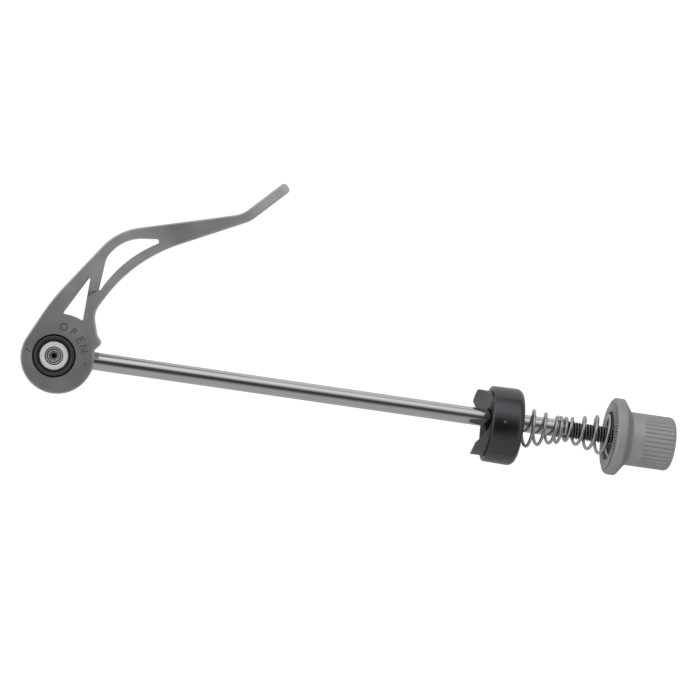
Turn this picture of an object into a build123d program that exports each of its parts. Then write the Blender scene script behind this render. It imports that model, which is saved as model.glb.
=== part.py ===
from build123d import *
import math
import os

# Quick release skewer: a cam lever, a rod, a saddle in its cup, two conical springs and a nut.
# The rod lies along X from the lever to the nut. The lever turns about Z, through the origin.
# All sizes are in millimetres and all angles in degrees.

# Clearances
running_clearance = 0.04  # radial, between a shaft and the hole that it turns in
thread_clearance = 0.05  # radial, between a thread and its hole
sliding_clearance = 0.3  # radial, between the rod and what slides along it
slot_clearance = 0.3  # between the rod and each wall of the lever's slot
seat_clearance = 0.1  # between a spring's wide end and the floor that it sits on
inner_coil_clearance = 0.65  # radial, between the inner spring's narrow end and the rod
outer_coil_clearance = 0.2  # radial, between the outer spring's narrow end and the rod
recess_clearance = 0.3  # radial, between a spring's wide end and its recess

# Rod
rod_diameter = 5.0
rod_reach = 167.5  # from the pivot axis to the threaded end
rod_chamfer = 0.6
rod_root = 2.6  # how far the rod goes past the pivot axis, inside the barrel

# Barrel that the lever turns on, and its locking screw
barrel_wall = 1.4  # beside the rod
barrel_sink = 0.2  # the barrel's ends lie this far below the head's faces
barrel_chamfer = 0.3
screw_diameter = 5.0
screw_sink = 0.5  # the screw's outer end lies this far below the barrel's end
screw_socket = 2.5  # across the flats of the hexagon
screw_socket_depth = 2.0

# Cam head of the lever
cam_radius = 10.05
cam_eccentricity = 1.0
cam_angle = -17.0  # direction of the cam's centre from the pivot, with the lever at rest
head_width = 15.0
lever_swing = 195.0  # how far the lever turns from rest

# Bearing bushes in the head's cheeks
bush_wall = 2.1
bush_groove_width = 0.7
bush_groove_depth = 1.0
bush_sink = 0.1  # the bush's face lies this far below the head's

# Side view of the lever's arm: corners in the plane of the rod, and the radius at each
arm_shoulder = (-2.87, 15.2)
arm_knee = (12.2, 36.75)
paddle_root_top = (45.6, 46.45)
paddle_tip_top = (56.05, 57.1)
paddle_root_under = (48.6, 45.2)
arm_belly = (17.85, 29.7)
paddle_thickness = 2.95
shoulder_radius = 60.0
knee_radius = 17.0
paddle_root_radius = 8.0
paddle_tip_radius = 1.1
belly_radius = 42.0

# Neck and stop of the lever: direction from the cam's centre, and height above the cam
neck_angle = 59.9
neck_height = 5.7
neck_radius = 6.0
stop_foot_angle = 37.4
stop_foot_height = 2.3
stop_foot_radius = 0.8
stop_peak_angle = 25.5
stop_peak_height = 2.7
stop_peak_radius = 1.1

# Arch window beside the cam, and eye window in the arm
arch_top = (6.8, 23.95)
arch_left = (-0.35, 10.5)
arch_right = (6.35, 8.6)
arch_rim = 2.0  # wall between the arch window and the cam
arch_corner_radius = 0.4
eye_foot = (9.15, 17.9)
eye_corner = (10.1, 28.85)
eye_top = (13.6, 35.15)
eye_end = (27.4, 36.75)
eye_belly = (15.85, 28.45)
eye_corner_radius = 5.0
eye_top_radius = 11.5
eye_foot_radius = 0.35
eye_end_radius = 0.8

# Plan view of the lever along its chord, from the pivot to the paddle's tip
taper_lead = 3.0  # the head keeps its full width this far past the cam's radius
waist_station = 47.0
waist_width = 8.4
paddle_width = 11.6
paddle_flare = 7.0  # angle of the paddle's flanks at its tip
paddle_corner_radius = 2.6
paddle_corner_lead = 0.3  # the plan ends this far past the tip
lever_edge = 0.4  # bevel round the lever's flat sides

# Saddle and cup
saddle_wrap = 54.2  # how far the saddle reaches round the cam, each way
saddle_cam_clearance = 0.25
saddle_horn = 0.9  # width of the flat at the tip of each horn
saddle_stand = 3.65  # how far the horns stand out of the cup
saddle_turn = -28.0  # how far the saddle is turned about the rod at rest
cup_drop = 1.5  # the loose cup and saddle hang this far below the rod's axis, along -Y
cup_length = 9.1
cup_wall = 1.51  # round the saddle
cup_flare = 0.15  # growth of the cup's radius towards its clamp face
cup_front_bevel = 0.3
cup_back_round = 2.0
cup_pocket_depth = 3.9
cup_recess_depth = 4.2

# Nut
nut_engagement = 9.3  # from the clamp face to the rod's end
nut_length = 18.2
nut_flange_diameter = 22.0
nut_flange_length = 5.4
nut_rim_width = 2.4
nut_rim_bevel = 0.6
nut_grip_diameter = 15.3
nut_end_round = 1.2
nut_recess_depth = 3.1
flute_count = 36
flute_depth = 0.35
flute_angle = 75.0
flute_length = 8.8

# Teeth on the clamp faces of the cup and the nut
tooth_count = 20
tooth_depth = 0.45
tooth_angle = 75.0
tooth_length = 1.6

# Conical springs, narrow end to narrow end
spring_length = 16.5
spring_gap = 0.2
spring_wire = 0.95
spring_wire_sides = 5
spring_wide_diameter = 13.6  # outside
spring_pitch = 3.5
spring_closed_pitch = 1.0  # of the closed turn at the narrow end
spring_runs = 16  # straight runs in each turn
inner_spring_start = 54.0  # where the wide end starts round the rod, from +Y
inner_spring_drop = 0.45  # the inner spring's narrow end hangs this far below the rod's axis
outer_spring_start = 301.0

# Sizes and places worked out from the driving dimensions
rod_radius = rod_diameter / 2
barrel_radius = rod_radius + barrel_wall
bush_radius = barrel_radius + bush_wall
head_half = head_width / 2
slot_half = rod_radius + slot_clearance
groove_radius = cam_radius + saddle_cam_clearance
groove_half_chord = groove_radius * math.sin(math.radians(saddle_wrap))
saddle_radius = groove_half_chord + saddle_horn
pocket_radius = saddle_radius + running_clearance
spring_recess_radius = spring_wide_diameter / 2 + recess_clearance
nut_face = rod_reach - nut_engagement
nut_end = nut_face + nut_length
nut_recess_floor = nut_face + nut_recess_depth
cup_recess_floor = nut_recess_floor - 2 * (spring_length + seat_clearance) - spring_gap
cup_back = cup_recess_floor + cup_recess_depth
cup_front = cup_back - cup_length
cup_pocket_floor = cup_front + cup_pocket_depth
saddle_front = cup_front - saddle_stand
loose_hole_radius = rod_radius + sliding_clearance + cup_drop


def direction(angle):
    return Vector(math.cos(math.radians(angle)), math.sin(math.radians(angle)), 0)


cam_centre = direction(cam_angle) * cam_eccentricity


def above_cam(angle, height):
    return cam_centre + direction(angle) * (cam_radius + height)


def across_rod(x):
    # A plane across the rod, with its normal along +X and its own x axis along +Y
    return Plane(origin=(x, 0, 0), x_dir=(0, 1, 0), z_dir=(1, 0, 0))


def rod_cylinder(radius, start, end):
    return extrude(across_rod(start) * Circle(radius), amount=end - start)


def pivot_cylinder(radius, low, high):
    return extrude(Plane.XY.offset(low) * Circle(radius), amount=high - low)


def rod_revolve(outline):
    # Turns a closed outline of (distance along the rod, radius) about the rod's axis
    return revolve(make_face(Polyline(*outline, close=True)), Axis.X)


def round_over(x, radius, size):
    # An outer corner of a turned outline, rounded in two facets
    inset = size * (1 - math.sqrt(0.5))
    return [(x - size, radius), (x - inset, radius - inset), (x, radius - size)]


def copies_round_rod(shape, count):
    return [Rot(360 * index / count, 0, 0) * shape for index in range(count)]


def make_rod():
    shaft = rod_cylinder(rod_radius, -rod_root, rod_reach)
    return chamfer(shaft.edges().group_by(Axis.X)[-1], rod_chamfer)


def make_barrel():
    half = head_half - barrel_sink
    barrel = pivot_cylinder(barrel_radius, -half, half)
    barrel = chamfer(barrel.edges().filter_by(GeomType.CIRCLE), barrel_chamfer)
    rod_hole = rod_cylinder(rod_radius + thread_clearance, -rod_root, 2 * barrel_radius)
    screw_hole = pivot_cylinder(screw_diameter / 2 + thread_clearance, 0, head_width)
    return barrel - rod_hole - screw_hole


def make_barrel_screw():
    top = head_half - barrel_sink - screw_sink
    screw = pivot_cylinder(screw_diameter / 2, rod_radius, top)
    screw = chamfer(screw.edges().group_by(Axis.Z)[-1], barrel_chamfer)
    socket_corner = screw_socket / 2 / math.cos(math.pi / 6)
    socket = Plane.XY.offset(top) * RegularPolygon(socket_corner, 6)
    return screw - extrude(socket, amount=-screw_socket_depth)


def make_bush():
    bore = barrel_radius + running_clearance
    rim = bush_radius - bush_groove_width
    top = head_half - bush_sink
    outline = [
        (bore, slot_half),
        (bush_radius, slot_half),
        (bush_radius, top - bush_groove_depth),
        (rim, top - bush_groove_depth),
        (rim, top),
        (bore, top),
    ]
    return revolve(Plane.XZ * make_face(Polyline(*outline, close=True)), Axis.Z)


def side_outline():
    # The arm leaves the cam on a tangent and comes back to it at the stop
    shoulder = Vector(*arm_shoulder)
    to_shoulder = shoulder - cam_centre
    bearing = math.degrees(math.atan2(to_shoulder.Y, to_shoulder.X))
    lean = math.degrees(math.acos(cam_radius / to_shoulder.length))
    leave = above_cam(bearing + lean, 0)
    paddle = (Vector(*paddle_tip_top) - Vector(*paddle_root_top)).normalized()
    tip_under = Vector(*paddle_tip_top) + paddle.rotate(Axis.Z, -90) * paddle_thickness
    stop_end = above_cam(math.degrees(math.asin((slot_half - cam_centre.Y) / cam_radius)), 0)
    corners = {
        shoulder: shoulder_radius,
        Vector(*arm_knee): knee_radius,
        Vector(*paddle_root_top): paddle_root_radius,
        Vector(*paddle_tip_top): paddle_tip_radius,
        tip_under: paddle_tip_radius,
        Vector(*paddle_root_under): paddle_root_radius,
        Vector(*arm_belly): belly_radius,
        above_cam(neck_angle, neck_height): neck_radius,
        above_cam(stop_foot_angle, stop_foot_height): stop_foot_radius,
        above_cam(stop_peak_angle, stop_peak_height): stop_peak_radius,
    }
    arm = FilletPolyline(leave, *corners.keys(), stop_end, radius=list(corners.values()))
    cam = ThreePointArc(stop_end, above_cam(-90, 0), leave)
    face = make_face(arm.edges() + cam.edges())
    return fillet(face.vertices().sort_by_distance(stop_end)[0], stop_foot_radius)


def plan_outline(tip):
    # Half widths along the chord: full at the head, a waist at the arm and a wider paddle
    back = -2 * cam_radius
    head_end = (cam_radius + taper_lead, head_half)
    paddle_end = (tip + paddle_corner_lead, paddle_width / 2)
    head_edge = Line((back, head_half), head_end)
    flank = Spline(
        head_end,
        (waist_station, waist_width / 2),
        paddle_end,
        tangents=[direction(0), direction(paddle_flare)],
    )
    upper = head_edge.edges() + flank.edges()
    lower = [edge.mirror(Plane.XZ) for edge in upper]
    end_edge = Line(paddle_end, (paddle_end[0], -paddle_end[1]))
    back_edge = Line((back, -head_half), (back, head_half))
    face = make_face(upper + lower + end_edge.edges() + back_edge.edges())
    return fillet(face.vertices().group_by(Axis.X)[-1], paddle_corner_radius)


def arch_window():
    corners = Polyline(arch_top, arch_left, arch_right, close=True)
    rim = Pos(*cam_centre) * Circle(cam_radius + arch_rim)
    window = make_face(corners) - rim
    return fillet(window.vertices(), arch_corner_radius)


def eye_window():
    radii = [eye_corner_radius, eye_top_radius]
    upper = FilletPolyline(eye_foot, eye_corner, eye_top, eye_end, radius=radii)
    lower = ThreePointArc(eye_end, eye_belly, eye_foot)
    window = make_face(upper.edges() + lower.edges())
    window = fillet(window.vertices().sort_by(Axis.X)[-1], eye_end_radius)
    return fillet(window.vertices().sort_by(Axis.Y)[0], eye_foot_radius)


def slot_cut():
    # Room for the rod while the lever turns round it, from the stop to the arm's root
    reach = 3 * cam_radius
    steps = 6
    fan = [direction(-lever_swing * step / steps) * reach for step in range(steps + 1)]
    sector = make_face(Polyline((0, 0), *fan, close=True))
    strip = Pos(reach / 2, 0) * Rectangle(reach, 2 * slot_half)
    room = sector + strip + Rot(0, 0, -lever_swing) * strip
    return extrude(room, amount=slot_half, both=True)


def make_lever():
    # The side view and the plan view cross, and their shared edges are bevelled
    tip = Vector(*paddle_tip_top)
    chord = tip.normalized()
    plan_plane = Plane(origin=(0, 0, 0), x_dir=chord, z_dir=chord.rotate(Axis.Z, -90))
    side = extrude(side_outline(), amount=head_half, both=True)
    plan = extrude(plan_plane * plan_outline(tip.length), amount=tip.length, both=True)
    body = side & plan
    walls = [face for face in body.faces() if abs(face.normal_at().Z) < 0.01]
    rims = [edge for wall in walls for edge in wall.edges().filter_by(Axis.Z, reverse=True)]
    body = chamfer(rims, lever_edge)
    body -= extrude(arch_window() + eye_window(), amount=head_width, both=True)
    body -= slot_cut()
    body -= pivot_cylinder(barrel_radius + sliding_clearance, -head_width, head_width)
    body -= pivot_cylinder(bush_radius, slot_half, head_width)
    return body - pivot_cylinder(bush_radius, -head_width, -slot_half)


def cut_teeth(solid, face_x, outward):
    # Radial grooves across the inner ring of a clamp face
    half_width = tooth_depth * math.tan(math.radians(tooth_angle / 2))
    section = Polyline((0, half_width), (0, -half_width), (-outward * tooth_depth, 0), close=True)
    start = spring_recess_radius - half_width
    plane = Plane(origin=(face_x, start, 0), x_dir=(1, 0, 0), z_dir=(0, 1, 0))
    groove = extrude(plane * make_face(section), amount=tooth_length + half_width)
    return solid - copies_round_rod(groove, tooth_count)


def make_cup():
    # Round the rod's axis; it is dropped to its place afterwards
    front_radius = pocket_radius + cup_wall
    outline = [
        (cup_front, pocket_radius),
        (cup_front, front_radius - cup_front_bevel),
        (cup_front + cup_front_bevel, front_radius),
        *round_over(cup_back, front_radius + cup_flare, cup_back_round),
        (cup_back, spring_recess_radius),
        (cup_recess_floor, spring_recess_radius),
        (cup_recess_floor, loose_hole_radius),
        (cup_pocket_floor, loose_hole_radius),
        (cup_pocket_floor, pocket_radius),
    ]
    return cut_teeth(rod_revolve(outline), cup_back, 1)


def make_saddle():
    block = rod_cylinder(saddle_radius, saddle_front, cup_pocket_floor)
    groove_x = saddle_front - groove_radius * math.cos(math.radians(saddle_wrap))
    groove = Pos(groove_x, 0, 0) * Cylinder(groove_radius, 4 * saddle_radius)
    block -= Rot(saddle_turn, 0, 0) * groove
    return block - rod_cylinder(loose_hole_radius, saddle_front, cup_pocket_floor)


def make_nut():
    flange_radius = nut_flange_diameter / 2
    grip_radius = nut_grip_diameter / 2
    bore_radius = rod_radius + thread_clearance
    rim_start = nut_face + nut_rim_bevel
    outline = [
        (nut_face, spring_recess_radius),
        (nut_face, flange_radius - nut_rim_bevel),
        (rim_start, flange_radius),
        (rim_start + nut_rim_width, flange_radius),
        (nut_face + nut_flange_length, grip_radius),
        *round_over(nut_end, grip_radius, nut_end_round),
        (nut_end, bore_radius),
        (nut_recess_floor, bore_radius),
        (nut_recess_floor, spring_recess_radius),
    ]
    nut = rod_revolve(outline)
    half_width = flute_depth * math.tan(math.radians(flute_angle / 2))
    root = grip_radius - flute_depth
    section = Polyline((grip_radius, half_width), (grip_radius, -half_width), (root, 0), close=True)
    flute = extrude(across_rod(nut_end) * make_face(section), amount=-flute_length)
    nut -= copies_round_rod(flute, flute_count)
    return cut_teeth(nut, nut_face, -1)


def make_spring(start_angle, clearance, wide_drop, narrow_drop):
    # A left-hand conical coil along +X, from its wide end at the origin to a closed turn round the rod
    wire_radius = spring_wire / 2
    wide = spring_wide_diameter / 2 - wire_radius
    narrow = rod_radius + clearance + wire_radius
    open_height = spring_length - spring_wire - spring_closed_pitch
    open_turns = open_height / spring_pitch
    runs = round((open_turns + 1) * spring_runs)
    points = []
    for run in range(runs + 1):
        turn = (open_turns + 1) * run / runs
        share = min(turn / open_turns, 1)
        rise = share * open_height + max(turn - open_turns, 0) * spring_closed_pitch
        arm = direction(start_angle - 360 * turn) * (wide + (narrow - wide) * share)
        drop = wide_drop + (narrow_drop - wide_drop) * share
        points.append(Vector(wire_radius + rise, arm.X - drop, arm.Y))
    section = Plane(points[0], x_dir=(1, 0, 0), z_dir=points[1] - points[0])
    wire = section * RegularPolygon(wire_radius, spring_wire_sides)
    return sweep(wire, path=Polyline(*points), transition=Transition.RIGHT)


bush = make_bush()
inner_spring = make_spring(inner_spring_start, inner_coil_clearance, cup_drop, inner_spring_drop)
outer_spring = make_spring(outer_spring_start, outer_coil_clearance, 0, 0)
inner_seat = Pos(cup_recess_floor + seat_clearance, 0, 0)
outer_seat = Pos(nut_recess_floor - seat_clearance, 0, 0) * Rot(0, 180, 0)
cup_place = Pos(0, -cup_drop, 0)
parts = {
    "rod": make_rod(),
    "pivot_barrel": make_barrel(),
    "barrel_screw": make_barrel_screw(),
    "lever": make_lever(),
    "upper_bush": bush,
    "lower_bush": Rot(180, 0, 0) * bush,
    "cup": cup_place * make_cup(),
    "saddle": cup_place * make_saddle(),
    "inner_spring": inner_seat * inner_spring,
    "outer_spring": outer_seat * outer_spring,
    "nut": make_nut(),
}

os.makedirs("parts", exist_ok=True)
for node, shape in parts.items():
    export_step(shape, f"parts/{node}.step")
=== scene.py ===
import math

import bmesh
import bpy
from mathutils import Matrix, Vector


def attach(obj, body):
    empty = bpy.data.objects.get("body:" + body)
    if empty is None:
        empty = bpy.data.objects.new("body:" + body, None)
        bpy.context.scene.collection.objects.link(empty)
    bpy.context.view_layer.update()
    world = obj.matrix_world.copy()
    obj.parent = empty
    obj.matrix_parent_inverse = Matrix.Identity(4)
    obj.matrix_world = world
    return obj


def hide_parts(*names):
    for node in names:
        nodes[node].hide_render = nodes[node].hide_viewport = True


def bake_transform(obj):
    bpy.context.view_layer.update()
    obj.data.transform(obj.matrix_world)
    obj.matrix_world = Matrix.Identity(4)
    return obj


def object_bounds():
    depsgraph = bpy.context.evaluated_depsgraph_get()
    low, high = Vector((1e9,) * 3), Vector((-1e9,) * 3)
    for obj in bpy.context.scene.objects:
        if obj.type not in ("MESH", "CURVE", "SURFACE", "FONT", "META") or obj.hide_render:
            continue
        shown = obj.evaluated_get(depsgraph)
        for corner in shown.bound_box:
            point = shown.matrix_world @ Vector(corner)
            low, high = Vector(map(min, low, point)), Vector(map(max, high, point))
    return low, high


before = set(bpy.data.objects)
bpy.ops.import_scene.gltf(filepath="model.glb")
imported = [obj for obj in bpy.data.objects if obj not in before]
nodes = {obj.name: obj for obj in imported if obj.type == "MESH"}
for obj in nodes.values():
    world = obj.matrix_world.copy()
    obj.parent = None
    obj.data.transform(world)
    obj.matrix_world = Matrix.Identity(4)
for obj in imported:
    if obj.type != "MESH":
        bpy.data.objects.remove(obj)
cadLow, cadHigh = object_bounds()
scene = bpy.context.scene
scene.view_settings.view_transform = "Standard"
mm = 0.001
print("frame loaded with", len(nodes), "nodes")


def newObject(name, data):
    made = bpy.data.objects.new(name, data)
    scene.collection.objects.link(made)
    return made


cameraFit = {
    "framePixels": 700,
    "sensor": 36.0,
    "focalPixels": 2200.0,
    "pivotPixel": (54.8, 355.3),  # where the lever's pivot shows
    "pivotScale": 0.27806,  # millimetres a pixel at the pivot
    "rodRoll": 8.38,  # the rod drops to the right by this angle
    "rodTilt": 5.75,  # the nut's end lies farther away
    "nearest": 0.01,
    "farthest": 30.0,
}


def makeCamera(fit):
    turn = Matrix.Rotation(math.radians(-fit["rodRoll"]), 3, "Z")
    turn = turn @ Matrix.Rotation(math.radians(fit["rodTilt"]), 3, "Y")
    middle = fit["framePixels"] / 2
    reach = fit["pivotScale"] * mm
    pivot = Vector((
        (fit["pivotPixel"][0] - middle) * reach,
        (middle - fit["pivotPixel"][1]) * reach,
        -fit["focalPixels"] * reach,
    ))
    lens = bpy.data.cameras.new("productCamera")
    lens.sensor_width = fit["sensor"]
    lens.lens = fit["focalPixels"] / fit["framePixels"] * fit["sensor"]
    lens.clip_start = fit["nearest"]
    lens.clip_end = fit["farthest"]
    camera = newObject("productCamera", lens)
    back = turn.transposed()
    camera.matrix_world = Matrix.Translation(-(back @ pivot)) @ back.to_4x4()
    scene.camera = camera


makeCamera(cameraFit)
print("camera set")


def addNode(tree, kind, inputs=None, **settings):
    made = tree.nodes.new(kind)
    for key, value in settings.items():
        setattr(made, key, value)
    for key, value in (inputs or {}).items():
        if isinstance(value, bpy.types.NodeSocket):
            tree.links.new(value, made.inputs[key])
        else:
            made.inputs[key].default_value = value
    return made


def addMath(tree, operation, *values):
    return addNode(tree, "ShaderNodeMath", dict(enumerate(values)), operation=operation).outputs[0]


def mapRange(tree, value, low, high, toLow, toHigh):
    inputs = {"Value": value, "From Min": low, "From Max": high, "To Min": toLow, "To Max": toHigh}
    return addNode(tree, "ShaderNodeMapRange", inputs).outputs["Result"]


def mixColour(tree, share, first, second):
    inputs = {0: share, 6: first, 7: second}  # the colour sockets of the node
    return addNode(tree, "ShaderNodeMix", inputs, data_type="RGBA").outputs[2]


def grey(level, warmth=0.0):
    return (level * (1 + warmth), level, level * (1 - warmth), 1.0)


worldLook = {
    "darkEnd": 14.0,  # the camera's side of the tent is dark up to this angle from straight up
    "lightStart": 44.0,
    "dark": 0.06,
    "topSide": 1.08,  # the side that the lever points to
    "bottomSide": 0.5,
    "leftSide": 1.08,  # the lever's end, against the nut's end
    "rightSide": 0.6,
    "sideSpread": 0.7,  # how far from the middle a side has its full light
    "horizonStart": 64.0,  # on the lever's side the tent darkens from here down
    "horizonEnd": 88.0,
    "horizonDrop": 0.6,
    "dropSpread": 0.3,
}


def makeWorld(look):
    world = bpy.data.worlds.new("studioTent")
    scene.world = world
    world.use_nodes = True
    tree = world.node_tree
    tree.nodes.clear()
    direction = addNode(tree, "ShaderNodeTexCoord").outputs["Generated"]
    parts = addNode(tree, "ShaderNodeSeparateXYZ", {0: direction})
    fromTop = addMath(tree, "ARCCOSINE", parts.outputs["Z"])
    edge = (math.radians(look["darkEnd"]), math.radians(look["lightStart"]))
    ring = mapRange(tree, fromTop, *edge, 0.0, 1.0)
    spread = look["sideSpread"]
    side = mapRange(tree, parts.outputs["Y"], -spread, spread, look["bottomSide"], look["topSide"])
    end = mapRange(tree, parts.outputs["X"], -spread, spread, look["leftSide"], look["rightSide"])
    sink = (math.radians(look["horizonStart"]), math.radians(look["horizonEnd"]))
    spread = look["dropSpread"]
    drop = mapRange(tree, parts.outputs["Y"], -spread, spread, 0.0, look["horizonDrop"])
    drop = addMath(tree, "MULTIPLY", drop, mapRange(tree, fromTop, *sink, 0.0, 1.0))
    ring = addMath(tree, "MULTIPLY", ring, addMath(tree, "SUBTRACT", 1.0, drop))
    level = addMath(tree, "MULTIPLY_ADD", ring, addMath(tree, "MULTIPLY", side, end), look["dark"])
    tent = addNode(tree, "ShaderNodeBackground", {"Color": level})
    backdrop = addNode(tree, "ShaderNodeBackground", {"Color": grey(1.0)})
    path = addNode(tree, "ShaderNodeLightPath")
    mixed = addNode(tree, "ShaderNodeMixShader", {0: path.outputs["Is Camera Ray"]})
    tree.links.new(tent.outputs[0], mixed.inputs[1])
    tree.links.new(backdrop.outputs[0], mixed.inputs[2])
    out = addNode(tree, "ShaderNodeOutputWorld")
    tree.links.new(mixed.outputs[0], out.inputs["Surface"])


makeWorld(worldLook)


floorLook = {
    "half": 4.0,
    "gap": 0.0002,  # under the object's lowest point
    "colour": 0.35,
    "lift": 0.93,  # seen by the camera
    "nearGlow": 0.3,  # seen in the metal, on the side away from the lever's arm
    "farGlow": 0.55,
    "fade": 0.025,
    "endStart": 0.168,  # past the nut the floor shows darker in the metal
    "endStop": 0.19,
    "endGlow": 0.1,
}


def makeFloor(look):
    bm = bmesh.new()
    bmesh.ops.create_grid(bm, x_segments=1, y_segments=1, size=look["half"])
    bmesh.ops.translate(bm, verts=bm.verts, vec=(0, 0, cadLow.z - look["gap"]))
    mesh = bpy.data.meshes.new("paleFloor")
    bm.to_mesh(mesh)
    bm.free()
    floor = newObject("paleFloor", mesh)
    material = bpy.data.materials.new("paleFloor")
    material.use_nodes = True
    tree = material.node_tree
    tree.nodes.clear()
    path = addNode(tree, "ShaderNodeLightPath")
    place = addNode(tree, "ShaderNodeTexCoord").outputs["Object"]
    parts = addNode(tree, "ShaderNodeSeparateXYZ", {0: place})
    fade = look["fade"]
    mirrored = mapRange(tree, parts.outputs["Y"], -fade, fade, look["nearGlow"], look["farGlow"])
    pastNut = mapRange(tree, parts.outputs["X"], look["endStart"], look["endStop"], 1.0, look["endGlow"])
    mirrored = addMath(tree, "MULTIPLY", mirrored, pastNut)
    mirrored = addMath(tree, "MULTIPLY", path.outputs["Is Glossy Ray"], mirrored)
    seen = addMath(tree, "MAXIMUM", path.outputs["Is Camera Ray"], path.outputs["Is Transmission Ray"])
    matte = addNode(tree, "ShaderNodeBsdfDiffuse", {"Color": grey(look["colour"])})
    glow = addNode(tree, "ShaderNodeEmission", {"Color": grey(1.0)})
    tree.links.new(addMath(tree, "MULTIPLY_ADD", seen, look["lift"], mirrored), glow.inputs["Strength"])
    both = addNode(tree, "ShaderNodeAddShader")
    tree.links.new(matte.outputs[0], both.inputs[0])
    tree.links.new(glow.outputs[0], both.inputs[1])
    out = addNode(tree, "ShaderNodeOutputMaterial")
    tree.links.new(both.outputs[0], out.inputs["Surface"])
    mesh.materials.append(material)


makeFloor(floorLook)
print("tent and floor made")


patternLook = {
    "grainDetail": 3.0,
    "cloudDetail": 2.0,
    "ringDetail": 3.0,
    "streakDetail": 4.0,
    "speckCore": 0.08,  # parts of a cell
    "speckEdge": 0.2,
    "noiseLow": 0.3,  # most of a noise lies between these two
    "noiseHigh": 0.7,
}


def newGroup(name, inputs, outputs):
    group = bpy.data.node_groups.new(name, "ShaderNodeTree")
    for socket, kind in inputs:
        group.interface.new_socket(socket, in_out="INPUT", socket_type=kind)
    for socket in outputs:
        group.interface.new_socket(socket, in_out="OUTPUT", socket_type="NodeSocketFloat")
    start = addNode(group, "NodeGroupInput")
    end = addNode(group, "NodeGroupOutput")
    return group, start, end


def makeGrainGroup(look):
    # fine orange peel of a coat, and broad clouds of tone
    group, start, end = newGroup(
        "coatGrain",
        (("Vector", "NodeSocketVector"), ("Fine", "NodeSocketFloat"), ("Broad", "NodeSocketFloat")),
        ("Grain", "Cloud"),
    )
    for scale, output, detail in (("Fine", "Grain", "grainDetail"), ("Broad", "Cloud", "cloudDetail")):
        inputs = {"Vector": start.outputs["Vector"], "Scale": start.outputs[scale], "Detail": look[detail]}
        noise = addNode(group, "ShaderNodeTexNoise", inputs)
        group.links.new(noise.outputs["Fac"], end.inputs[output])
    return group


def makeSpeckGroup(look):
    # a few small pale specks, one in some of the cells
    group, start, end = newGroup(
        "dustSpecks",
        (("Vector", "NodeSocketVector"), ("Scale", "NodeSocketFloat"), ("Share", "NodeSocketFloat")),
        ("Mask",),
    )
    inputs = {"Vector": start.outputs["Vector"], "Scale": start.outputs["Scale"]}
    cells = addNode(group, "ShaderNodeTexVoronoi", inputs)
    spot = mapRange(group, cells.outputs["Distance"], look["speckCore"], look["speckEdge"], 1.0, 0.0)
    pick = addNode(group, "ShaderNodeSeparateColor", {0: cells.outputs["Color"]}).outputs[0]
    chosen = addMath(group, "LESS_THAN", pick, start.outputs["Share"])
    group.links.new(addMath(group, "MULTIPLY", spot, chosen), end.inputs["Mask"])
    return group


def makeRingGroup(look):
    # lines left by a lathe about the vector's Z axis
    group, start, end = newGroup(
        "turnedRings",
        (("Vector", "NodeSocketVector"), ("Scale", "NodeSocketFloat")),
        ("Lines",),
    )
    parts = addNode(group, "ShaderNodeSeparateXYZ", {0: start.outputs["Vector"]})
    across = addMath(group, "MULTIPLY", parts.outputs["X"], parts.outputs["X"])
    across = addMath(group, "MULTIPLY_ADD", parts.outputs["Y"], parts.outputs["Y"], across)
    station = addMath(group, "ADD", addMath(group, "SQRT", across), parts.outputs["Z"])
    inputs = {"W": station, "Scale": start.outputs["Scale"], "Detail": look["ringDetail"]}
    noise = addNode(group, "ShaderNodeTexNoise", inputs, noise_dimensions="1D")
    group.links.new(noise.outputs["Fac"], end.inputs["Lines"])
    return group


def makeDrawnGroup(look):
    # long streaks along X, as on drawn bar and wire
    group, start, end = newGroup(
        "drawnStreaks",
        (("Vector", "NodeSocketVector"), ("Scale", "NodeSocketFloat"), ("Stretch", "NodeSocketFloat")),
        ("Streaks",),
    )
    parts = addNode(group, "ShaderNodeSeparateXYZ", {0: start.outputs["Vector"]})
    along = addMath(group, "DIVIDE", parts.outputs["X"], start.outputs["Stretch"])
    inputs = {"X": along, "Y": parts.outputs["Y"], "Z": parts.outputs["Z"]}
    joined = addNode(group, "ShaderNodeCombineXYZ", inputs)
    inputs = {"Vector": joined.outputs[0], "Scale": start.outputs["Scale"], "Detail": look["streakDetail"]}
    noise = addNode(group, "ShaderNodeTexNoise", inputs)
    group.links.new(noise.outputs["Fac"], end.inputs["Streaks"])
    return group


coatGrain = makeGrainGroup(patternLook)
dustSpecks = makeSpeckGroup(patternLook)
turnedRings = makeRingGroup(patternLook)
drawnStreaks = makeDrawnGroup(patternLook)


def placeGroup(tree, group, inputs):
    return addNode(tree, "ShaderNodeGroup", inputs, node_tree=group).outputs


def noiseRange(tree, noise, low, high):
    return mapRange(tree, noise, patternLook["noiseLow"], patternLook["noiseHigh"], low, high)


def newMaterial(name, **constants):
    material = bpy.data.materials.new(name)
    material.use_nodes = True
    tree = material.node_tree
    shader = tree.nodes["Principled BSDF"]
    for key, value in constants.items():
        shader.inputs[key.replace("_", " ")].default_value = value
    place = addNode(tree, "ShaderNodeTexCoord").outputs["Object"]
    return material, tree, shader, place


def shadedTone(tree, share, look, wear):
    # the look's tone, from a little darker to a little lighter
    ends = [grey(look["tone"] * wear[level], look["warmth"]) for level in ("dark", "light")]
    return mixColour(tree, share, *ends)


def addBump(tree, shader, height, strength, depth):
    inputs = {"Height": height, "Strength": strength, "Distance": depth}
    bump = addNode(tree, "ShaderNodeBump", inputs)
    tree.links.new(bump.outputs[0], shader.inputs["Normal"])


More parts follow.
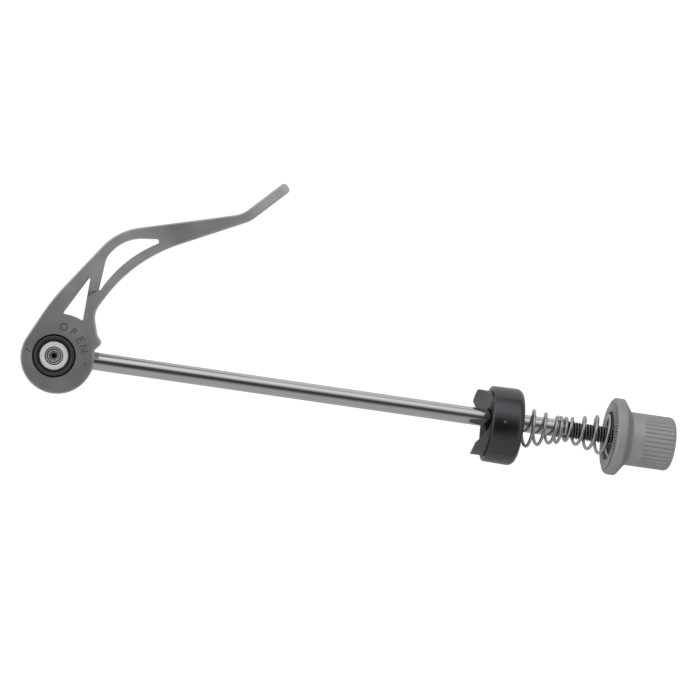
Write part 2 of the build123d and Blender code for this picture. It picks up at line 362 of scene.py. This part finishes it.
def chordShare(tree, place, chord, stops):
    # a share that changes along a chord from the origin, by stops of (part of the chord, share)
    length = chord.length
    inputs = {0: place, 1: chord / length / length}
    dot = addNode(tree, "ShaderNodeVectorMath", inputs, operation="DOT_PRODUCT")
    made = addNode(tree, "ShaderNodeValToRGB", {"Fac": dot.outputs["Value"]})
    points = made.color_ramp.elements
    while len(points) < len(stops):
        points.new(1.0)
    for point, (part, share) in zip(points, stops):
        point.position = part
        point.color = grey(share)
    return made.outputs["Color"]


coatWear = {"dark": 0.94, "light": 1.06, "roughSpread": 0.03, "speckShare": 0.6, "grainDepth": 0.02}


def makeCoat(name, look, wear=coatWear):
    # a satin coat on cast or turned metal
    tint = look.get("tint", grey(1.0))
    material, tree, shader, place = newMaterial(
        name, Metallic=look["metallic"], IOR=look["ior"], Specular_Tint=tint,
    )
    grain = placeGroup(tree, coatGrain, {"Vector": place, "Fine": look["fine"], "Broad": look["broad"]})
    inputs = {"Vector": place, "Scale": look["speckScale"], "Share": look["specks"]}
    specks = placeGroup(tree, dustSpecks, inputs)
    tone = shadedTone(tree, noiseRange(tree, grain["Cloud"], 0.0, 1.0), look, wear)
    mask = addMath(tree, "MULTIPLY", specks["Mask"], wear["speckShare"])
    tone = mixColour(tree, mask, tone, grey(look["speckTone"]))
    spread = wear["roughSpread"]
    rough = noiseRange(tree, grain["Cloud"], look["rough"] - spread, look["rough"] + spread)
    # painted light and shade: a second tone mixed in along a chord, by the look's stops
    if "stops" in look:
        share = chordShare(tree, place, look["chord"], look["stops"])
        tone = mixColour(tree, share, tone, grey(look["paintedLightAndShadeTone"], look["warmth"]))
        rough = addMath(tree, "MULTIPLY_ADD", share, look["otherRough"], rough)
    tree.links.new(tone, shader.inputs["Base Color"])
    tree.links.new(rough, shader.inputs["Roughness"])
    addBump(tree, shader, grain["Grain"], look["bump"], wear["grainDepth"] * mm)
    return material


leverCoat = makeCoat("leverCoat", {
    "metallic": 0.75, "ior": 1.5, "tone": 0.535, "warmth": 0.004, "rough": 0.33, "bump": 0.35,
    "fine": 4500.0, "broad": 160.0, "speckScale": 260.0, "specks": 0.05, "speckTone": 0.45,
    # painted light: along this chord the arm, and most of all the paddle, get a lighter tone than the head
    "chord": Vector((56.0, 57.1, 0.0)) * mm, "paintedLightAndShadeTone": 0.69, "otherRough": 0.24,
    "stops": (
        (0.07, 0.0), (0.16, 0.27), (0.3, 0.36), (0.46, 0.34),
        (0.58, 0.05), (0.75, 0.28), (0.82, 0.42), (0.89, 1.0),
    ),
})
letterShade = makeCoat("letterShade", {
    "metallic": 0.6, "ior": 1.5, "tone": 0.3, "warmth": 0.0, "rough": 0.4, "bump": 0.3,
    "fine": 4500.0, "broad": 300.0, "speckScale": 600.0, "specks": 0.03, "speckTone": 0.4,
})
nutCoat = makeCoat("nutCoat", {
    "metallic": 0.35, "ior": 1.5, "tone": 0.56, "warmth": 0.008, "rough": 0.55, "bump": 0.45,
    "fine": 4200.0, "broad": 220.0, "speckScale": 300.0, "specks": 0.04, "speckTone": 0.45,
    # painted shade and light along the nut: darkest on the cone behind the flange, lightest where the grip
    # starts
    "chord": Vector((176.4, 0.0, 0.0)) * mm, "paintedLightAndShadeTone": 0.38, "otherRough": 0.0,
    "stops": (
        (0.9, 0.5), (0.912, 0.38), (0.916, 1.0), (0.9265, 1.0),
        (0.9285, 0.0), (0.94, 0.05), (0.952, 0.3), (0.99, 0.26),
    ),
})
toothShade = makeCoat("toothShade", {
    "metallic": 0.3, "ior": 1.5, "tone": 0.03, "warmth": 0.01, "rough": 0.55, "bump": 0.4,
    "fine": 4200.0, "broad": 400.0, "speckScale": 600.0, "specks": 0.05, "speckTone": 0.3,
})
cupCoat = makeCoat("cupCoat", {
    "metallic": 0.0, "ior": 1.93, "tone": 0.008, "warmth": -0.1, "rough": 0.22, "bump": 0.2,
    "tint": (0.91, 0.89, 1.0, 1.0),
    "fine": 3800.0, "broad": 180.0, "speckScale": 420.0, "specks": 0.14, "speckTone": 0.4,
})
saddleCoat = makeCoat("saddleCoat", {
    "metallic": 0.4, "ior": 1.5, "tone": 0.145, "warmth": 0.0, "rough": 0.42, "bump": 0.4,
    "fine": 3600.0, "broad": 240.0, "speckScale": 380.0, "specks": 0.05, "speckTone": 0.35,
    "chord": Vector((176.4, 0.0, 0.0)) * mm, "paintedLightAndShadeTone": 0.012, "otherRough": 0.2,
    "stops": ((0.6957, 0.0), (0.6962, 1.0)),  # painted shade: dark where it enters the cup
})


turnedWear = {"dark": 0.85, "light": 1.1, "smoother": 0.05, "rougher": 0.07, "lineDepth": 0.03}


def makeTurnedMetal(name, look, wear=turnedWear):
    # lathe lines on a face about the pivot
    material, tree, shader, place = newMaterial(name, Metallic=look["metallic"])
    lines = placeGroup(tree, turnedRings, {"Vector": place, "Scale": look["lines"]})["Lines"]
    tone = shadedTone(tree, noiseRange(tree, lines, 0.0, 1.0), look, wear)
    rough = noiseRange(tree, lines, look["rough"] - wear["smoother"], look["rough"] + wear["rougher"])
    tree.links.new(tone, shader.inputs["Base Color"])
    tree.links.new(rough, shader.inputs["Roughness"])
    addBump(tree, shader, lines, look["bump"], wear["lineDepth"] * mm)
    return material


barrelSteel = makeTurnedMetal("barrelSteel", {
    "metallic": 0.1, "tone": 0.97, "warmth": 0.014, "rough": 0.6, "lines": 6000.0, "bump": 0.4,
})
screwSteel = makeTurnedMetal("screwSteel", {
    "metallic": 0.6, "tone": 0.66, "warmth": 0.0, "rough": 0.55, "lines": 5000.0, "bump": 0.3,
})
rimSteel = makeTurnedMetal("rimSteel", {
    "metallic": 0.7, "tone": 0.26, "warmth": 0.0, "rough": 0.35, "lines": 5000.0, "bump": 0.3,
})
socketShade = makeTurnedMetal("socketShade", {
    "metallic": 0.4, "tone": 0.045, "warmth": 0.0, "rough": 0.5, "lines": 5000.0, "bump": 0.3,
})
bushBlack = makeTurnedMetal("bushBlack", {
    "metallic": 0.0, "tone": 0.02, "warmth": 0.0, "rough": 0.4, "lines": 5200.0, "bump": 0.5,
})


drawnWear = {"dark": 0.92, "light": 1.05, "smoother": 0.8, "rougher": 1.25, "streakDepth": 0.01}


def makeDrawnSteel(name, look, wear=drawnWear):
    # bright bar or wire with streaks along the rod
    material, tree, shader, place = newMaterial(name, Metallic=1.0)
    inputs = {"Vector": place, "Scale": look["streaks"], "Stretch": look["stretch"]}
    streaks = placeGroup(tree, drawnStreaks, inputs)["Streaks"]
    share = noiseRange(tree, streaks, 0.0, 1.0)
    tone = shadedTone(tree, share, look, wear)
    ends = [look["rough"] * wear[level] for level in ("smoother", "rougher")]
    rough = mapRange(tree, share, 0.0, 1.0, *ends)
    tree.links.new(tone, shader.inputs["Base Color"])
    tree.links.new(rough, shader.inputs["Roughness"])
    addBump(tree, shader, streaks, look["bump"], wear["streakDepth"] * mm)
    return material


rodSteel = makeDrawnSteel("rodSteel", {
    "tone": 0.65, "warmth": 0.01, "rough": 0.13, "streaks": 2600.0, "stretch": 60.0, "bump": 0.12,
})
springSteel = makeDrawnSteel("springSteel", {
    "tone": 0.5, "warmth": 0.005, "rough": 0.28, "streaks": 2400.0, "stretch": 3.0, "bump": 0.2,
})


def makeThreadSteel(look):
    # rolled thread: painted shade in the roots, brighter crests
    material, tree, shader, place = newMaterial("threadSteel", Metallic=look["metallic"])
    parts = addNode(tree, "ShaderNodeSeparateXYZ", {0: place})
    across = addMath(tree, "MULTIPLY", parts.outputs["Y"], parts.outputs["Y"])
    across = addMath(tree, "MULTIPLY_ADD", parts.outputs["Z"], parts.outputs["Z"], across)
    radius = addMath(tree, "SQRT", across)
    crest = mapRange(tree, radius, look["root"], look["crest"], 0.0, 1.0)
    tone = mixColour(tree, crest, grey(look["dark"]), grey(look["bright"]))
    rough = mapRange(tree, crest, 0.0, 1.0, look["rootRough"], look["crestRough"])
    tree.links.new(tone, shader.inputs["Base Color"])
    tree.links.new(rough, shader.inputs["Roughness"])
    return material


threadSteel = makeThreadSteel({
    "metallic": 0.9, "root": 2.08 * mm, "crest": 2.5 * mm, "dark": 0.02, "bright": 0.34,
    "rootRough": 0.6, "crestRough": 0.32,
})
print("materials made")


def meshOf(source):
    # the mesh of an object with its modifiers or bevel applied, which takes the object's place
    bpy.context.view_layer.update()
    mesh = bpy.data.meshes.new_from_object(source.evaluated_get(bpy.context.evaluated_depsgraph_get()))
    bpy.data.objects.remove(source)
    return mesh


def finishPiece(name, mesh, materials, slotName, *replaced, body=None, smooth=32):
    piece = newObject(name, mesh)
    for material in materials:
        mesh.materials.append(material)
    mesh.shade_smooth()
    mesh.set_sharp_from_angle(angle=math.radians(smooth))
    if body:
        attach(piece, body)
    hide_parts(*replaced)
    return piece


weldGap = 1e-7  # metres


def meshFrom(name, bm):
    bmesh.ops.remove_doubles(bm, verts=bm.verts, dist=weldGap)
    bmesh.ops.recalc_face_normals(bm, faces=bm.faces)
    mesh = bpy.data.meshes.new(name)
    bm.to_mesh(mesh)
    bm.free()
    for extra in ("custom_normal", "sharp_edge", "sharp_face"):  # left from a solid that it was copied from
        if extra in mesh.attributes:
            mesh.attributes.remove(mesh.attributes[extra])
    return mesh


def spinProfile(points, axis, steps, closed):
    # turns a profile of (along, radius) in millimetres about the X or the Z axis
    bm = bmesh.new()
    place = (lambda a, r: (a, r, 0)) if axis == "X" else (lambda a, r: (r, 0, a))
    verts = [bm.verts.new(Vector(place(a, r)) * mm) for a, r in points]
    ends = verts[1:] + verts[:1] if closed else verts[1:]
    edges = [bm.edges.new(pair) for pair in zip(verts, ends)]
    line = (1, 0, 0) if axis == "X" else (0, 0, 1)
    bmesh.ops.spin(
        bm, geom=verts + edges, cent=(0, 0, 0), axis=line, angle=math.tau, steps=steps, use_merge=True,
    )
    return bm


def reshapeRod(bm, change):
    # moves each vertex of a piece round the rod to the (along, radius) that change gives for its place
    for vert in bm.verts:
        along, y, z = vert.co / mm
        angle = math.atan2(z, y)
        along, radius = change(along, math.hypot(y, z), angle)
        vert.co = Vector((along, radius * math.cos(angle), radius * math.sin(angle))) * mm


def corner(along, radius, size, start, sweep=-90, steps=5):
    # points of a rounded corner of a profile: an arc about (along, radius), from an angle, both in degrees
    angles = [math.radians(start + sweep * step / steps) for step in range(steps + 1)]
    return [(along + size * math.cos(angle), radius + size * math.sin(angle)) for angle in angles]


def wave(turns, angle):
    # 1 at the middle of each groove round the rod, 0 half way to the next
    return 0.5 + 0.5 * math.cos(turns * angle)


def sawtooth(turns, angle):
    # 0 at the crest of each tooth round the rod, 1 at the bottom of each gap
    return abs(2 * ((turns * angle / math.tau) % 1.0) - 1)


def ramp(value, low, high):
    share = min(max((value - low) / (high - low), 0.0), 1.0)
    return share * share * (3 - 2 * share)


near = 0.01  # millimetres within which a vertex counts as on a face


rodShape = {
    "radius": 2.5, "start": -2.6, "end": 167.5, "chamfer": 0.6, "sides": 64,
    "threadStart": 144.6, "threadRunOut": 1.2, "pitch": 0.8, "threadDepth": 0.44, "ringsPerPitch": 10,
    "rootPart": 0.14, "flankPart": 0.72,  # of half a pitch
}


def makeRod(shape):
    end, start = shape["end"], shape["threadStart"]
    span = end - shape["chamfer"] - start
    count = round(span / shape["pitch"] * shape["ringsPerPitch"])
    step = span / count
    rings = [start + step * ring for ring in range(count + 1)]
    points = [(shape["start"], 0), (shape["start"], shape["radius"])]
    points += [(ring, shape["radius"]) for ring in rings]
    points += [(end, shape["radius"] - shape["chamfer"]), (end, 0)]
    bm = spinProfile(points, "X", shape["sides"], False)

    def cutThread(along, radius, angle):
        if along < start - near or radius < shape["radius"] - near:
            return along, radius
        turn = (along / shape["pitch"] - angle / math.tau) % 1.0
        flank = (abs(turn - 0.5) * 2 - shape["rootPart"]) / shape["flankPart"]
        flank = min(max(flank, 0.0), 1.0)  # 0 at the root, 1 at the crest
        depth = shape["threadDepth"] * ramp(along, start, start + shape["threadRunOut"])
        return along, radius - depth * (1 - flank)

    reshapeRod(bm, cutThread)
    for facet in bm.faces:
        facet.material_index = 1 if facet.calc_center_median().x > start * mm else 0
    mesh = meshFrom("rodSkin", bm)
    finishPiece("rodSkin", mesh, (rodSteel, threadSteel), "rod_steel", "rod", body="rod", smooth=50)


makeRod(rodShape)


springShape = {
    "wire": 0.95, "wide": 6.325, "openHeight": 14.55, "pitch": 3.5, "closedPitch": 1.0,
    "pointsPerTurn": 56, "wireSteps": 4,
}
innerSpring = {
    "name": "innerCoil", "seat": 128.0, "sense": 1, "start": 54.0, "narrow": 3.625,
    "wideDrop": 1.5, "narrowDrop": 0.45, "lean": 0.12,  # its wide turns lean away from the floor of the cup
}
outerSpring = {
    "name": "outerCoil", "seat": 161.2, "sense": -1, "start": 301.0, "narrow": 3.175,
    "wideDrop": 0.0, "narrowDrop": 0.0, "lean": 0.0,
}


def makeSpring(shape, place):
    # a left-hand cone of wire with a closed turn at its narrow end
    openTurns = shape["openHeight"] / shape["pitch"]
    count = round((openTurns + 1) * shape["pointsPerTurn"])
    path = bpy.data.curves.new(place["name"], "CURVE")
    path.dimensions = "3D"
    path.bevel_depth = shape["wire"] / 2 * mm
    path.bevel_resolution = shape["wireSteps"]
    path.use_fill_caps = True
    line = path.splines.new("POLY")
    line.points.add(count)
    for index, point in enumerate(line.points):
        turn = (openTurns + 1) * index / count
        share = min(turn / openTurns, 1.0)
        rise = share * shape["openHeight"] + max(turn - openTurns, 0.0) * shape["closedPitch"]
        radius = shape["wide"] + (place["narrow"] - shape["wide"]) * share
        drop = place["wideDrop"] + (place["narrowDrop"] - place["wideDrop"]) * share
        angle = math.radians(place["start"]) - math.tau * turn
        rise += place["lean"] * (1 - share) * radius * (1 - math.cos(angle))
        x = place["seat"] + place["sense"] * (shape["wire"] / 2 + rise)
        y = radius * math.cos(angle) - drop
        z = place["sense"] * radius * math.sin(angle)
        point.co = (x * mm, y * mm, z * mm, 1.0)
    mesh = meshOf(newObject(place["name"], path))
    bm = bmesh.new()
    bm.from_mesh(mesh)
    bpy.data.meshes.remove(mesh)
    return meshFrom(place["name"], bm)


coil = makeSpring(springShape, innerSpring)
inner = finishPiece("innerCoil", coil, (springSteel,), "spring_steel", "inner_spring")
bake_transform(inner)
coil = makeSpring(springShape, outerSpring)
outer = finishPiece("outerCoil", coil, (springSteel,), "spring_steel", "outer_spring")
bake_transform(outer)
print("rod and springs made")


bushShape = {
    "bore": 3.94, "boreBevel": 0.1, "radius": 6.0, "root": 2.8, "top": 7.4, "grooveFloor": 6.4,
    "rim": 5.44, "rimInner": 4.86, "rimRound": 0.12, "dish": 6.85, "dishRound": 0.25, "sides": 96,
}


def makeBush(shape, name, node, sense):
    small, hollow, bevel = shape["rimRound"], shape["dishRound"], shape["boreBevel"]
    points = [(shape["root"], shape["bore"]), (shape["root"], shape["radius"])]
    points += [(shape["grooveFloor"], shape["radius"]), (shape["grooveFloor"], shape["rim"])]
    points += corner(shape["top"] - small, shape["rim"] - small, small, 90, -90, 4)
    points += corner(shape["top"] - small, shape["rimInner"] + small, small, 0, -90, 4)
    points += corner(shape["dish"] + hollow, shape["rimInner"] - hollow, hollow, 90, 90, 4)
    points += [(shape["dish"], shape["bore"] + bevel), (shape["dish"] - bevel, shape["bore"])]
    bm = spinProfile([(sense * along, radius) for along, radius in points], "Z", shape["sides"], True)
    for facet in bm.faces:
        x, y, z = facet.calc_center_median() / mm
        flat = shape["rimInner"] + small < math.hypot(x, y) < shape["rim"] - small
        facet.material_index = 1 if abs(z) > shape["top"] - small and not flat else 0
    finishPiece(name, meshFrom(name, bm), (bushBlack, rimSteel), "bush_black", node, body="lever")


makeBush(bushShape, "upperBearing", "upper_bush", 1)
makeBush(bushShape, "lowerBearing", "lower_bush", -1)


screwShape = {
    "radius": 2.5, "root": 2.5, "top": 6.8, "sides": 72,
    "crown": 2.3, "crownDepth": 1.2, "crownRound": 0.15, "crownInner": 1.98,
    "grooveInner": 1.72, "grooveDepth": 0.45, "grooveSlope": 0.05, "ringDrop": 0.12,
    "mouthRadius": 1.46, "mouthDrop": 0.1, "mouth": 0.3,
    "flats": 2.5, "depth": 1.5, "drill": 0.75, "drillDepth": 1.2,
    "driven": 12,  # degrees that the socket is turned, as it was driven home
    "darkFrom": 0.9,  # part of the groove's depth
}


def makeScrew(shape):
    half = shape["flats"] / 2
    top, root = shape["top"], shape["root"]
    crown, small = shape["crown"], shape["crownRound"]
    ledge, groove, floor = top - shape["crownDepth"], top - shape["grooveDepth"], top - shape["depth"]
    slope, drill = shape["grooveSlope"], shape["drill"]
    points = [(root, 0), (root, shape["radius"]), (ledge, shape["radius"])]
    points += [(ledge, crown), *corner(top - small, crown - small, small, 90, -90, 3)]
    points += [(top, shape["crownInner"]), (groove, shape["crownInner"] - slope)]
    points += [(groove, shape["grooveInner"]), (top - shape["ringDrop"], shape["grooveInner"] - slope)]
    points += [(top - shape["mouthDrop"], shape["mouthRadius"]), (top - shape["mouth"], half)]
    points += [(floor, half), (floor, drill)]
    points += [(floor - shape["drillDepth"], drill), (floor - shape["drillDepth"], 0)]
    bm = spinProfile(points, "Z", shape["sides"], False)
    for vert in bm.verts:
        x, y, z = vert.co / mm
        if abs(math.hypot(x, y) - half) < near:
            turn = (math.degrees(math.atan2(y, x)) + shape["driven"]) % 60 - 30  # from the middle of a flat
            grow = 1 / math.cos(math.radians(turn))
            vert.co = Vector((x * grow, y * grow, z)) * mm
    for facet in bm.faces:  # painted shade in the groove, the socket and the gap round it
        height = facet.calc_center_median().z / mm
        deep = height < top - shape["darkFrom"] * shape["grooveDepth"]
        facet.material_index = 1 if deep and abs(height - floor) > near else 0
    mesh = meshFrom("socketScrew", bm)
    finishPiece("socketScrew", mesh, (screwSteel, socketShade), "screw_steel", "barrel_screw", body="rod")


makeScrew(screwShape)
print("bearings and screw made")


nutShape = {
    "face": 158.2, "end": 176.4, "recess": 7.1, "recessFloor": 161.3, "bore": 2.55, "sides": 576,
    "flange": 11.0, "rimBevel": 0.85, "rimEnd": 161.2, "rimRound": 0.12,
    "grip": 7.65, "gripStart": 163.6, "neckRound": 0.1, "endRound": 1.2,
    "coneTurn": 56,  # degrees from the flange's edge to the cone behind it
    "boreMouth": 3.2, "boreBevel": 0.5,
    "teeth": 72, "toothRise": 0.2, "toothDepth": 0.45, "toothEnd": 9.5, "toothStep": 0.05,
    # the radius from which painted shade between the teeth starts
    "recessLip": 0.1, "paintedShadeStart": 8.3,
    "flutes": 36, "fluteDepth": 0.32, "fluteStart": 167.1, "fluteRunIn": 0.2, "fluteFade": 0.3,
    "gripRings": (
        164.8, 166.2, 167.0, 167.1, 167.2, 167.3, 167.5, 168.4, 169.0, 171.0, 173.0, 174.4, 175.0,
    ),
}


def makeNut(shape):
    crest, end = shape["face"] - shape["toothRise"], shape["end"]
    rim = crest + shape["toothDepth"]  # the teeth stand proud of it
    flange, grip = shape["flange"], shape["grip"]
    bevel, small, neck, large = shape["rimBevel"], shape["rimRound"], shape["neckRound"], shape["endRound"]
    recess, toothEnd, start, cone = shape["recess"], shape["toothEnd"], shape["fluteStart"], shape["coneTurn"]
    points = [(shape["recessFloor"], shape["bore"]), (shape["recessFloor"], recess)]
    points += [(rim + shape["recessLip"], recess)]
    points += [(crest, recess), (crest, shape["paintedShadeStart"]), (crest, toothEnd)]
    points += [(rim, toothEnd + shape["toothStep"])]
    points += corner(rim + bevel, flange - bevel, bevel, 180, -90, 5)
    points += corner(shape["rimEnd"] - small, flange - small, small, 90, -cone, 4)
    points += corner(shape["gripStart"] + neck / 2, grip + neck, neck, 270 - cone, cone, 4)
    points += [(along, grip) for along in shape["gripRings"]]
    points += corner(end - large, grip - large, large, 90, -90, 7)
    points += [(end, shape["boreMouth"]), (end - shape["boreBevel"], shape["bore"])]
    bm = spinProfile(points, "X", shape["sides"], True)

    def cutGrooves(along, radius, angle):
        if along < crest + near and radius < toothEnd + near:
            return along + shape["toothDepth"] * sawtooth(shape["teeth"], angle), radius
        if along > start - near and radius > grip - large + 2 * near:
            fade = ramp(along, start, start + shape["fluteRunIn"])
            fade = fade * ramp(radius, grip - large, grip - shape["fluteFade"])
            return along, radius - shape["fluteDepth"] * fade * wave(shape["flutes"], angle) ** 4
        return along, radius

    reshapeRod(bm, cutGrooves)
    for facet in bm.faces:  # painted shade between the teeth, towards the rim
        x, y, z = facet.calc_center_median() / mm
        towardsRim = shape["paintedShadeStart"] < math.hypot(y, z) < toothEnd + shape["toothStep"]
        deep = sawtooth(shape["teeth"], math.atan2(z, y)) > 0.5
        facet.material_index = 1 if x < rim + near and towardsRim and deep else 0
    mesh = meshFrom("nutSkin", bm)
    finishPiece("nutSkin", mesh, (nutCoat, toothShade), "nut_grey", "nut", body="nut", smooth=40)


makeNut(nutShape)


cupShape = {
    "front": 123.0, "back": 132.1, "drop": 1.5, "hole": 4.3, "pocket": 9.29, "pocketFloor": 126.9,
    "mouth": 0.8, "frontRadius": 10.8, "frontRound": 0.4, "backRadius": 10.95, "backRound": 2.0,
    "recess": 7.1, "recessFloor": 127.9, "recessLip": 0.6, "sides": 256,
    "teeth": 64, "toothDepth": 0.42, "toothRings": (8.1, 7.6), "toothReach": 8.3,
}


def makeCup(shape):
    front, back = shape["front"], shape["back"]
    small, large = shape["frontRound"], shape["backRound"]
    points = [(shape["pocketFloor"], shape["hole"]), (shape["pocketFloor"], shape["pocket"])]
    points += [(front + shape["mouth"], shape["pocket"]), (front, shape["pocket"] + shape["mouth"])]
    points += corner(front + small, shape["frontRadius"] - small, small, 180, -90, 5)
    points += corner(back - large, shape["backRadius"] - large, large, 90, -90, 9)
    points += [(back, radius) for radius in (*shape["toothRings"], shape["recess"])]
    points += [(back - shape["recessLip"], shape["recess"])]
    points += [(shape["recessFloor"], shape["recess"]), (shape["recessFloor"], shape["hole"])]
    bm = spinProfile(points, "X", shape["sides"], True)

    def cutTeeth(along, radius, angle):
        if abs(along - back) < near and radius < shape["toothReach"]:
            return along - shape["toothDepth"] * sawtooth(shape["teeth"], angle), radius
        return along, radius

    reshapeRod(bm, cutTeeth)
    bmesh.ops.translate(bm, verts=bm.verts, vec=(0, -shape["drop"] * mm, 0))
    finishPiece("cupSkin", meshFrom("cupSkin", bm), (cupCoat,), "cup_black", "cup", body="cup", smooth=40)


makeCup(cupShape)
print("nut and cup made")


def cutMesh(name, mesh, *cutters):
    # takes the cutters away from a mesh
    blank = newObject(name, mesh)
    tools = [newObject("cutter", cutter) for cutter in cutters]
    for tool in tools:
        cut = blank.modifiers.new("cut", "BOOLEAN")
        cut.operation = "DIFFERENCE"
        cut.solver = "EXACT"
        cut.object = tool
    made = meshOf(blank)
    made.name = name
    for used in tools:
        bpy.data.objects.remove(used)
    return made


def drumMesh(name, radius, length, sides, place):
    bm = bmesh.new()
    bmesh.ops.create_cone(
        bm, cap_ends=True, segments=sides, radius1=radius * mm, radius2=radius * mm,
        depth=length * mm, matrix=place,
    )
    return meshFrom(name, bm)


saddleShape = {
    "front": 119.35, "back": 126.9, "drop": 1.5, "radius": 9.25, "sides": 144, "merge": 0.002,
    "hole": 4.3, "holeSpare": 4.0, "groove": 10.3, "grooveAt": 113.325, "grooveLength": 40.0,
    "turn": -28.0, "edgeAngle": 25.0, "bevel": 0.42, "segments": 4,
}


def makeSaddle(shape):
    middle = (shape["front"] + shape["back"]) / 2
    length = shape["back"] - shape["front"]
    alongRod = Matrix.Translation((middle * mm, 0, 0)) @ Matrix.Rotation(math.pi / 2, 4, "Y")
    across = Matrix.Rotation(math.radians(shape["turn"]), 4, "X")
    across = across @ Matrix.Translation((shape["grooveAt"] * mm, 0, 0))
    block = drumMesh("saddleBlock", shape["radius"], length, shape["sides"], alongRod)
    groove = drumMesh("saddleGroove", shape["groove"], shape["grooveLength"], shape["sides"], across)
    hole = drumMesh("saddleHole", shape["hole"], length + shape["holeSpare"], shape["sides"], alongRod)
    bm = bmesh.new()
    bm.from_mesh(cutMesh("saddleBlock", block, groove, hole))
    bmesh.ops.remove_doubles(bm, verts=bm.verts, dist=shape["merge"] * mm)
    limit = math.radians(shape["edgeAngle"])
    sharp = [edge for edge in bm.edges if len(edge.link_faces) == 2 and edge.calc_face_angle() > limit]
    bmesh.ops.bevel(
        bm, geom=sharp, offset=shape["bevel"] * mm, affect="EDGES", segments=shape["segments"],
        profile=0.5, material=-1, clamp_overlap=True,
    )
    bmesh.ops.translate(bm, verts=bm.verts, vec=(0, -shape["drop"] * mm, 0))
    mesh = meshFrom("saddleSkin", bm)
    finishPiece("saddleSkin", mesh, (saddleCoat,), "saddle_grey", "saddle", body="saddle")


makeSaddle(saddleShape)


leverShape = {
    "merge": 0.0001,
    "tipStart": 57.0, "tipShortest": 0.06,  # slivers where two bevels meet at the paddle's tip
    "flatAngle": 0.5,
    "face": 7.5, "depth": 0.2,  # the head's face, and how far the letters are sunk into it
    "floorGap": 0.005, "floorTilt": 0.99,  # what counts as the floor of a letter
}
letterMarks = {
    "radius": 8.5, "height": 2.2, "spots": (("O", 79.2), ("P", 59.2), ("E", 39.6), ("N", 21.6)),
    "ticks": ((-7.1, 0.5, -32.0, 1.6), (8.65, -1.0, 84.0, 0.8)),  # x, y, direction in degrees, length
    "tickWidth": 0.4, "bold": 0.02, "curveSteps": 6,
}


def letterCutter(marks, shape):
    cutter = bmesh.new()
    tall = 4 * shape["depth"] * mm  # it stands well clear of the face
    sunk = Matrix.Translation((0, 0, shape["face"] * mm + tall / 2 - shape["depth"] * mm))
    for letter, bearing in marks["spots"]:
        words = bpy.data.curves.new("letter", "FONT")
        words.body = letter
        words.align_x = "CENTER"
        words.extrude = tall / 2
        words.offset = marks["bold"]
        words.resolution_u = marks["curveSteps"]
        mesh = meshOf(newObject("letter", words))
        heights = [vert.co.y for vert in mesh.vertices]
        grow = marks["height"] * mm / (max(heights) - min(heights))
        place = sunk @ Matrix.Rotation(math.radians(bearing - 90), 4, "Z")
        place = place @ Matrix.Translation((0, (marks["radius"] - marks["height"] / 2) * mm, 0))
        place = place @ Matrix.Diagonal((grow, grow, 1, 1))
        mesh.transform(place)
        cutter.from_mesh(mesh)
        bpy.data.meshes.remove(mesh)
    for x, y, bearing, length in marks["ticks"]:
        place = sunk @ Matrix.Translation((x * mm, y * mm, 0))
        place = place @ Matrix.Rotation(math.radians(bearing), 4, "Z")
        place = place @ Matrix.Diagonal((length * mm, marks["tickWidth"] * mm, tall, 1))
        bmesh.ops.create_cube(cutter, size=1.0, matrix=place)
    return meshFrom("letterCutter", cutter)


def makeLever(shape, marks):
    bm = bmesh.new()
    bm.from_mesh(nodes["lever"].data)
    bmesh.ops.transform(bm, matrix=nodes["lever"].matrix_world, verts=bm.verts)
    bmesh.ops.remove_doubles(bm, verts=bm.verts, dist=shape["merge"] * mm)
    tip = [edge for edge in bm.edges if min(vert.co.x for vert in edge.verts) > shape["tipStart"] * mm]
    bmesh.ops.dissolve_degenerate(bm, dist=shape["tipShortest"] * mm, edges=tip)
    limit = math.radians(shape["flatAngle"])
    bmesh.ops.dissolve_limit(bm, angle_limit=limit, verts=bm.verts, edges=bm.edges)
    mesh = cutMesh("leverSkin", meshFrom("leverBlank", bm), letterCutter(marks, shape))
    floor = (shape["face"] - shape["depth"]) * mm
    for facet in mesh.polygons:
        level = abs(facet.center.z - floor) < shape["floorGap"] * mm
        facet.material_index = 1 if level and facet.normal.z > shape["floorTilt"] else 0
    finishPiece("leverSkin", mesh, (leverCoat, letterShade), "cast_grey", "lever", body="lever")


makeLever(leverShape, letterMarks)
print("saddle and lever made")


barrel = nodes["pivot_barrel"]
barrel.data.materials.clear()
barrel.data.materials.append(barrelSteel)
